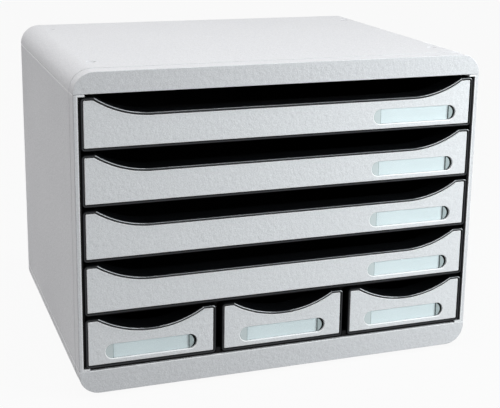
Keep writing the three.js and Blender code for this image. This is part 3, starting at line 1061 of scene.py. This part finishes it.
for side in (-1, 1):
    flange_xs = sorted((side * (wide_tray_half - tray_wall / 2), side * flange_x))
    flange = bar("flange", (flange_xs[0], runner_front_y, wide_tray_top - flange_depth),
                 (flange_xs[1], inner_back_y, wide_tray_top))
    lug = bar("lug", (flange_xs[0], lug_low_y, lug_low_z),
              (flange_xs[1], lug_low_y + stop_length, lug_high_z))
    weld(wide_box, flange, lug)
round_edges(wide_box, lip_radius, fine_steps,
            lambda edge: lies_at(edge, "z", wide_tray_top) and is_ridge(edge))
weld(wide_wall, wide_box)
smooth(wide_wall)


def settle_tray(tray, name, scoop_x, scoop_z):
    """Settles a tray with its bright bead and the highlight painted along its scoop."""
    settle(tray, f"{name}_tray", tray_black, [
        (tray_bead, is_crest),
        (scoop_edge_highlight, upper_edge_test(scoop_x, scoop_z, curved=True)),
        (scoop_floor_highlight, upper_edge_test(scoop_x, scoop_z, curved=False)),
    ])


wide_names = [f"wide_drawer_{i}" for i in range(1, 5)]
wide_steps = [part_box(f"{name}_tray")[0].z - wide_low.z for name in wide_names]
for name, step in zip(wide_names, wide_steps):
    tray = copy_to(wide_wall, f"{name}_box", (0, 0, step))
    settle_tray(tray, name, shoulder - wide_half, wide_low.z + step + wide_front_low)

# %% [markdown]
# The small trays slide on a shelf and have no flanges. Where a tray lies beside a divider, its
# wall has a small upstand that meets the stop, so the three trays differ: the left one has it
# on the right, the right one on the left, and the middle one on both sides.

# %% Small trays
small_inset = 0.4 * mm
upstand_inset = 0.2 * mm
small_drop = 2.7 * mm
small_half = small_high.x - small_inset
small_tray_top = small_high.z - small_drop
small_lug_top = small_high.z - seam
small_box = tray_box("small_box", 0, small_half, small_low.z, small_tray_top)
round_edges(small_box, lip_radius, fine_steps,
            lambda edge: lies_at(edge, "z", small_tray_top) and is_ridge(edge))
weld(small_wall, small_box)

small_names = ["small_drawer_left", "small_drawer_middle", "small_drawer_right"]
column_pitch = (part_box("small_drawer_right_label_card")[0].x
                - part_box("small_drawer_middle_label_card")[0].x)
small_steps = [-column_pitch, 0, column_pitch]
lug_sides = [(1,), (-1, 1), (-1,)]
for name, step, sides in zip(small_names, small_steps, lug_sides):
    tray = copy_to(small_wall, f"{name}_box", (step, 0, 0))
    for side in sides:
        xs = sorted((step + side * (small_half - tray_wall + upstand_inset),
                     step + side * (small_half - upstand_inset)))
        upstand = bar("upstand", (xs[0], lug_low_y, small_tray_top - tray_wall),
                      (xs[1], lug_low_y + stop_length, small_lug_top))
        weld(tray, upstand)
    smooth(tray)
    settle_tray(tray, name, step + shoulder - small_high.x, small_low.z + small_front_low)

# %% [markdown]
# ## The front plates
#
# A plate starts as a copy of the front block. Its front face is inset by the rim and the play
# between the two, everything else is deleted, and the face is extruded to the plate's
# thickness. The label slot is cut with a bar whose four corners are rounded almost as far as
# they go, which makes half-round ends. A tenth of a millimetre stays straight in the middle of
# each end, because a shorter edge would fold over when the edges of slot and window are rounded.
#
# A face can't have a hole, so the carved face is in two parts, with two seams between them. The
# modifier lays these seams anywhere, and rounding an edge beside a slanting one can fold the
# face over. So the plate is scored straight through the middle of the slot, and all other seams
# are dissolved. Then the front edges are rounded. They face the light, and a lighter finish on
# them paints a highlight, so they show as a bright line round the plate.

# %% Plates with their label slots
plate_play = 0.25 * mm
plate_setback = 0.5 * mm
plate_wall = 2 * mm
slot_length = 77.8 * mm
slot_height = 12.8 * mm
plate_edge = 0.65 * mm
end_share = 0.495
end_steps = 12


def stadium(name, middle, length, height, y_low, y_high):
    """A bar with half-round ends, seen from the front."""
    x, z = middle
    piece = bar(name, (x - length / 2, y_low, z - height / 2),
                (x + length / 2, y_high, z + height / 2))
    round_edges(piece, height * end_share, end_steps, lambda edge: runs_along(edge, "y"))
    return piece


def is_flat(edge):
    return len(edge.link_faces) == 2 and edge.calc_face_angle() < one_plane


def front_plate(block, name, label_middle):
    plate = copy_to(block, name, (0, 0, 0))
    choose(plate, "FACE", looks_forward)
    bpy.ops.mesh.inset(thickness=rim_width + plate_play, use_even_offset=True)
    bpy.ops.mesh.select_all(action="INVERT")
    bpy.ops.mesh.delete(type="FACE")
    choose(plate, "FACE", lambda face: True)
    bpy.ops.transform.translate(value=(0, plate_setback, 0))
    bpy.ops.mesh.extrude_region_move(TRANSFORM_OT_translate={"value": (0, plate_wall, 0)})
    bpy.ops.mesh.select_all(action="SELECT")
    bpy.ops.mesh.normals_make_consistent(inside=False)
    bpy.ops.object.mode_set(mode="OBJECT")
    carve(plate, stadium("slot", label_middle, slot_length, slot_height,
                         front_y - overrun, front_y + front_wall))
    score(plate, "z", label_middle[1])
    choose(plate, "EDGE", lambda edge: is_flat(edge) and not lies_at(edge, "z", label_middle[1]))
    bpy.ops.mesh.dissolve_edges(use_verts=False)
    round_edges(plate, plate_edge, edge_steps,
                lambda edge: lies_at(edge, "y", front_y + plate_setback) and is_ridge(edge))
    smooth(plate)
    return plate


def middle_of(node):
    low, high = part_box(node)
    return (low + high) / 2


wide_label = middle_of("wide_drawer_1_label_card")
small_label = middle_of("small_drawer_middle_label_card")
wide_plate = front_plate(wide_block, "wide_plate", (wide_label.x, wide_label.z))
small_plate = front_plate(small_block, "small_plate", (small_label.x, small_label.z))


def is_plate_highlight(face):
    face_y = front_y + plate_setback
    return face_y + grid < face.center.y < face_y + plate_edge


plates = [(copy_to(wide_plate, f"{name}_plate", (0, 0, step)), name)
          for name, step in zip(wide_names, wide_steps)]
plates += [(copy_to(small_plate, f"{name}_plate", (step, 0, 0)), name)
           for name, step in zip(small_names, small_steps)]
for piece, name in plates:
    # The lighter rim finish round each plate is a painted highlight.
    settle(piece, f"{name}_front_plate", plate_grey, [(plate_rim_highlight, is_plate_highlight)])

# %% [markdown]
# ## Label windows and cards
#
# The window clips into the slot. It is solid at its two half-round ends and bridges the card
# between them, so a shallow bar is carved out of its back. Its front edge is rounded. It is
# shorter than the slot: the crescent that stays open at the right is wide enough for a
# fingernail, and shows black. The card is cut with slightly rounded corners.

# %% Windows and cards
window_play = 0.1 * mm
window_edge = 0.3 * mm
right_gap = 2.4 * mm
card_corner = 0.8 * mm
card_steps = 4
card_edge = 0.08 * mm

window_low, window_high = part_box("wide_drawer_1_label_window")
card_low, card_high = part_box("wide_drawer_1_label_card")
card_half = (card_high.x - card_low.x) / 2
window = stadium("window", (wide_label.x - right_gap / 2, wide_label.z),
                 slot_length - 2 * window_play - right_gap, slot_height - 2 * window_play,
                 window_low.y, window_high.y)
bridge = bar("bridge", (card_low.x - seam, card_low.y - seam, window_low.z - overrun),
             (card_high.x + seam, window_high.y + overrun, window_high.z + overrun))
carve(window, bridge)
round_edges(window, window_edge, edge_steps,
            lambda edge: lies_at(edge, "y", window_low.y) and is_ridge(edge))
smooth(window)

card_rise = slot_height / 2 - 2 * window_play
card = bar("card", (card_low.x, card_low.y, wide_label.z - card_rise),
           (card_high.x, card_high.y, wide_label.z + card_rise))
round_edges(card, card_corner, card_steps, lambda edge: runs_along(edge, "y"))
round_edges(card, card_edge, fine_steps,
            lambda edge: lies_at(edge, "y", card_low.y) and is_ridge(edge))
smooth(card)

for name in wide_names + small_names:
    place = middle_of(f"{name}_label_card")
    shift = (place.x - wide_label.x, 0, place.z - wide_label.z)
    clear_part = window_finish(f"window_clear_{name}", place.x, card_half + seam)
    settle(copy_to(window, f"{name}_window", shift), f"{name}_label_window", clear_part)
    settle(copy_to(card, f"{name}_card", shift), f"{name}_label_card", card_cyan)

# %% [markdown]
# The models that were only copied from have done their work and go. What stays of the plain
# solids are the pieces deep inside the shell, whose shape is right as it is: the side liners
# with their ribs, the two shelves and the two dividers. They only need their finish.

# %% Clear the bench, and finish the pieces inside
bench = (wide_block, small_block, wide_wall, small_wall, wide_plate, small_plate, window, card)
for piece in bench:
    bpy.data.objects.remove(piece)

inner_nodes = ["left_runner_rack", "right_runner_rack", "middle_shelf", "base_shelf",
               "left_divider", "right_divider"]
for node in inner_nodes:
    solids[node].data.materials.clear()
    solids[node].data.materials.append(liner_black)
print("kept as they are:", ", ".join(inner_nodes))

# %% [markdown]
# ## Floor, background and light
#
# The object stands on a plain floor before a white background. Were the white made with more
# light, the grey plastic would wash out. So the light is set for the object alone, and the
# floor and the world show white to the camera only: the Light Path node tells a camera ray from
# the rays that light the object. Gloss and clear plastic should mirror that same white, so
# their rays count as well. Part of the floor's own shading is mixed in, which keeps the soft
# shadow under the object.

# %% Floor and world
def seen_directly(tree):
    """1 for rays from the camera and for mirrored or refracted ones, else 0."""
    path = tree.nodes.new("ShaderNodeLightPath")
    seen = path.outputs["Is Camera Ray"]
    for kind in ("Is Glossy Ray", "Is Transmission Ray"):
        either = tree.nodes.new("ShaderNodeMath")
        either.operation = "MAXIMUM"
        tree.links.new(seen, either.inputs[0])
        tree.links.new(path.outputs[kind], either.inputs[1])
        seen = either.outputs["Value"]
    return seen


floor_share = 0.06
floor_size = 12
floor_middle = (0, 2, 0)
floor_grey = (0.35, 0.35, 0.35, 1)
floor_roughness = 0.9
world_colour = (1.0, 0.99, 0.99, 1)
world_strength = 0.37

select_only()
bpy.ops.mesh.primitive_plane_add(size=floor_size, location=floor_middle)
floor = bpy.context.object
floor.name = "floor"
bpy.ops.object.transform_apply(location=True, rotation=True, scale=True)
floor_finish = bpy.data.materials.new("pale_floor")
floor_finish.use_nodes = True
tree = floor_finish.node_tree
shader = tree.nodes["Principled BSDF"]
shader.inputs["Base Color"].default_value = floor_grey
shader.inputs["Roughness"].default_value = floor_roughness
shader.inputs["Specular IOR Level"].default_value = 0
white = tree.nodes.new("ShaderNodeEmission")
mix = tree.nodes.new("ShaderNodeMixShader")
share = tree.nodes.new("ShaderNodeMath")
share.operation = "MULTIPLY"
share.inputs[1].default_value = 1 - floor_share
tree.links.new(seen_directly(tree), share.inputs[0])
tree.links.new(share.outputs["Value"], mix.inputs["Fac"])
tree.links.new(shader.outputs["BSDF"], mix.inputs[1])
tree.links.new(white.outputs["Emission"], mix.inputs[2])
tree.links.new(mix.outputs["Shader"], tree.nodes["Material Output"].inputs["Surface"])
floor.data.materials.append(floor_finish)

world = bpy.data.worlds.new("studio")
bpy.context.scene.world = world
world.use_nodes = True
tree = world.node_tree
background = tree.nodes["Background"]
background.inputs["Color"].default_value = world_colour
background.inputs["Strength"].default_value = world_strength
white = tree.nodes.new("ShaderNodeBackground")
white.inputs["Color"].default_value = (1, 1, 1, 1)
mix = tree.nodes.new("ShaderNodeMixShader")
tree.links.new(seen_directly(tree), mix.inputs["Fac"])
tree.links.new(background.outputs["Background"], mix.inputs[1])
tree.links.new(white.outputs["Background"], mix.inputs[2])
tree.links.new(mix.outputs["Shader"], tree.nodes["World Output"].inputs["Surface"])
bpy.context.scene.view_settings.view_transform = "Standard"
print("floor and world are white to the camera")

# %% [markdown]
# A soft lamp stands at the right in front of the object, and a little above. It is near enough
# for its light to fall off across the object, and meets the fronts at a slant, which brings out
# their grain: in the picture the fronts are clearly brighter at the right. A long narrow lamp
# overhead keeps the lid the brightest face. A wide weak one stands at the left, too far back to
# reach the fronts, so that the left side doesn't sink into shade. The camera sees no lamp. Places
# and sizes are in metres, and powers in watts.

# %% Lamps
heart = Vector((0, 0, 0.15))


def soft_lamp(name, place, width, height, power, colour):
    """A rectangular lamp that looks at the object's heart."""
    lamp = bpy.data.objects.new(name, bpy.data.lights.new(name, "AREA"))
    bpy.context.scene.collection.objects.link(lamp)
    lamp.data.shape = "RECTANGLE"
    lamp.data.size = width
    lamp.data.size_y = height
    lamp.data.energy = power
    lamp.data.color = colour
    lamp.visible_camera = False
    lamp.location = place
    direction = heart - Vector(place)
    lamp.rotation_euler = direction.to_track_quat("-Z", "Y").to_euler()
    return lamp


soft_lamp("key_lamp", place=(0.62, -0.62, 0.42), width=0.45, height=0.45,
          power=5.5, colour=(0.93, 0.99, 1.0))
soft_lamp("top_lamp", place=(-0.05, -0.22, 1.35), width=1.0, height=0.15,
          power=7.7, colour=(1.0, 1.0, 1.0))
soft_lamp("left_lamp", place=(-1.3, 0.25, 0.60), width=1.0, height=0.8,
          power=2.8, colour=(1.0, 0.99, 1.0))
print("three soft lamps")
